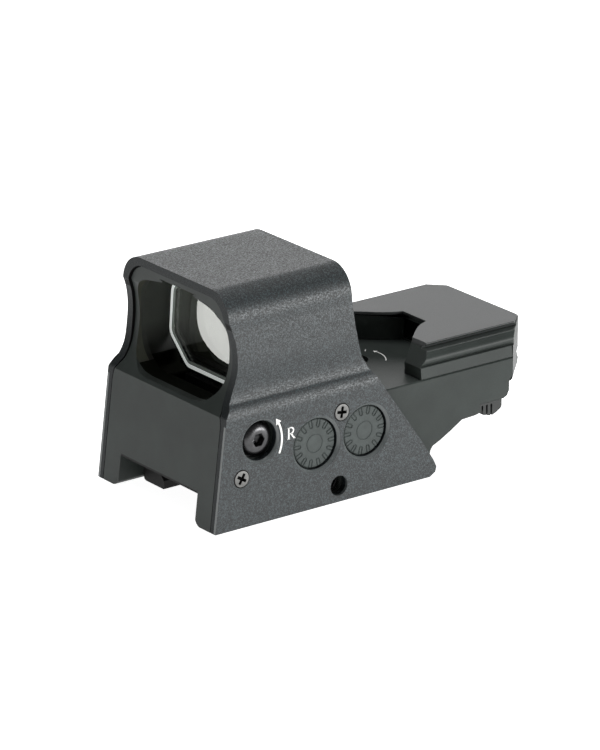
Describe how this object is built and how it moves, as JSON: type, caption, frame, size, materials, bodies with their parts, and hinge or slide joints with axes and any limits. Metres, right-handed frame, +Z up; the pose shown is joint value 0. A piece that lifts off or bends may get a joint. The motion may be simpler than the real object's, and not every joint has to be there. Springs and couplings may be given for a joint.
{
  "type": "reflex sight",
  "caption": "Hooded open reflex sight with tilted reflector lens, rear emitter housing, side push buttons, windage and elevation screws, coin cell tray and rail clamp.",
  "frame": {"origin": "on the rail seat, on the centre plane, straight above the axis of the clamp bolt", "axes": "+X along the line of sight from the objective end (large window) to the emitter end near the user, +Y away from the push buttons, +Z up"},
  "size_m": [0.1035, 0.05, 0.0589],
  "materials": {
    "blasted_shell": "bead-blasted and black anodised, fine sparkling grain",
    "smooth_shell": "smooth satin black anodised",
    "lid_shell": "smooth satin dark grey anodised",
    "plain_alloy": "as machined",
    "bright_steel": "zinc-plated, turned",
    "dark_steel": "black oxide, oiled",
    "cell_steel": "bright rolled steel",
    "contact_brass": "bright",
    "coated_glass": "polished, thin mirror coating",
    "dark_glass": "polished dark window",
    "button_rubber": "matt moulded rubber",
    "seal_rubber": "oiled black nitrile",
    "board": "solder-masked laminate",
    "switch_plastic": "moulded",
    "tray_plastic": "fine spark texture",
    "led_resin": "clear tinted resin"
  },
  "bodies": {
    "sight_body": {"main_body": "smooth_shell", "hood": "blasted_shell", "hood_screws": "bright_steel", "rail_base": "smooth_shell", "base_screws": "dark_steel", "recoil_key": "dark_steel", "retaining_ring": "dark_steel", "yaw_pin": "bright_steel", "windage_oring": "seal_rubber", "elevation_oring": "seal_rubber", "bias_spring": "bright_steel", "button_board": "board", "tactile_switches": "switch_plastic", "emitter_housing": "smooth_shell", "emitter_window": "dark_glass", "emitter_lid": "lid_shell", "led": "led_resin", "led_board": "board", "main_board": "board", "rear_cap": "lid_shell", "cap_screws": "dark_steel", "cap_gasket": "seal_rubber", "battery_contact": "contact_brass"},
    "yoke": {"bench_yoke": "plain_alloy", "pitch_pin": "bright_steel"},
    "bench": {"optical_bench": "plain_alloy", "lens_cradle": "smooth_shell", "reflector_lens": "coated_glass"},
    "windage_adjuster": {"windage_screw": "dark_steel"},
    "elevation_adjuster": {"elevation_screw": "dark_steel"},
    "front_button": {"front_button": "button_rubber"},
    "rear_button": {"rear_button": "button_rubber"},
    "clamp_bolt": {"clamp_bolt": "dark_steel"},
    "clamp_jaw": {"clamp_jaw": "smooth_shell"},
    "battery_tray": {"battery_tray": "tray_plastic", "coin_cell": "cell_steel"}
  },
  "joints": [
    {"name": "windage_turn", "type": "hinge", "parent": "sight_body", "child": "windage_adjuster", "pos_m": [-0.0238, -0.0241, 0.0133], "axis": [0, -1, 0], "range_deg": [-360, 360]},
    {"name": "yoke_yaw", "type": "hinge", "parent": "sight_body", "child": "yoke", "pos_m": [0.0093, 0, 0.004], "axis": [0, 0, 1], "range_deg": [-0.95, 0.95]},
    {"name": "elevation_turn", "type": "hinge", "parent": "sight_body", "child": "elevation_adjuster", "pos_m": [0.0233, 0, 0.0165], "axis": [0, 0, 1], "range_deg": [-360, 360]},
    {"name": "bench_pitch", "type": "hinge", "parent": "yoke", "child": "bench", "pos_m": [-0.0117, 0, 0.0085], "axis": [0, 1, 0], "range_deg": [-0.9, 0.9]},
    {"name": "front_button_press", "type": "slide", "parent": "sight_body", "child": "front_button", "axis": [0, 1, 0], "range_m": [0, 0.0008], "stiffness_N_per_m": 1500, "springref_m": -0.0003},
    {"name": "rear_button_press", "type": "slide", "parent": "sight_body", "child": "rear_button", "axis": [0, 1, 0], "range_m": [0, 0.0008], "stiffness_N_per_m": 1500, "springref_m": -0.0003},
    {"name": "clamp_bolt_turn", "type": "hinge", "parent": "sight_body", "child": "clamp_bolt", "pos_m": [0, -0.0217, -0.00373], "axis": [0, 1, 0], "range_deg": [0, 1080]},
    {"name": "clamp_jaw_slide", "type": "slide", "parent": "sight_body", "child": "clamp_jaw", "axis": [0, -1, 0], "range_m": [0, 0.0024]},
    {"name": "battery_tray_slide", "type": "slide", "parent": "sight_body", "child": "battery_tray", "axis": [1, 0, 0], "range_m": [0, 0.022]}
  ],
  "couplings": [
    {"joint": "yoke_yaw", "follows": "windage_turn", "ratio": -0.0024042},
    {"joint": "bench_pitch", "follows": "elevation_turn", "ratio": 0.0022736},
    {"joint": "clamp_bolt_turn", "follows": "clamp_jaw_slide", "rad_per_m": 7854}
  ]
}
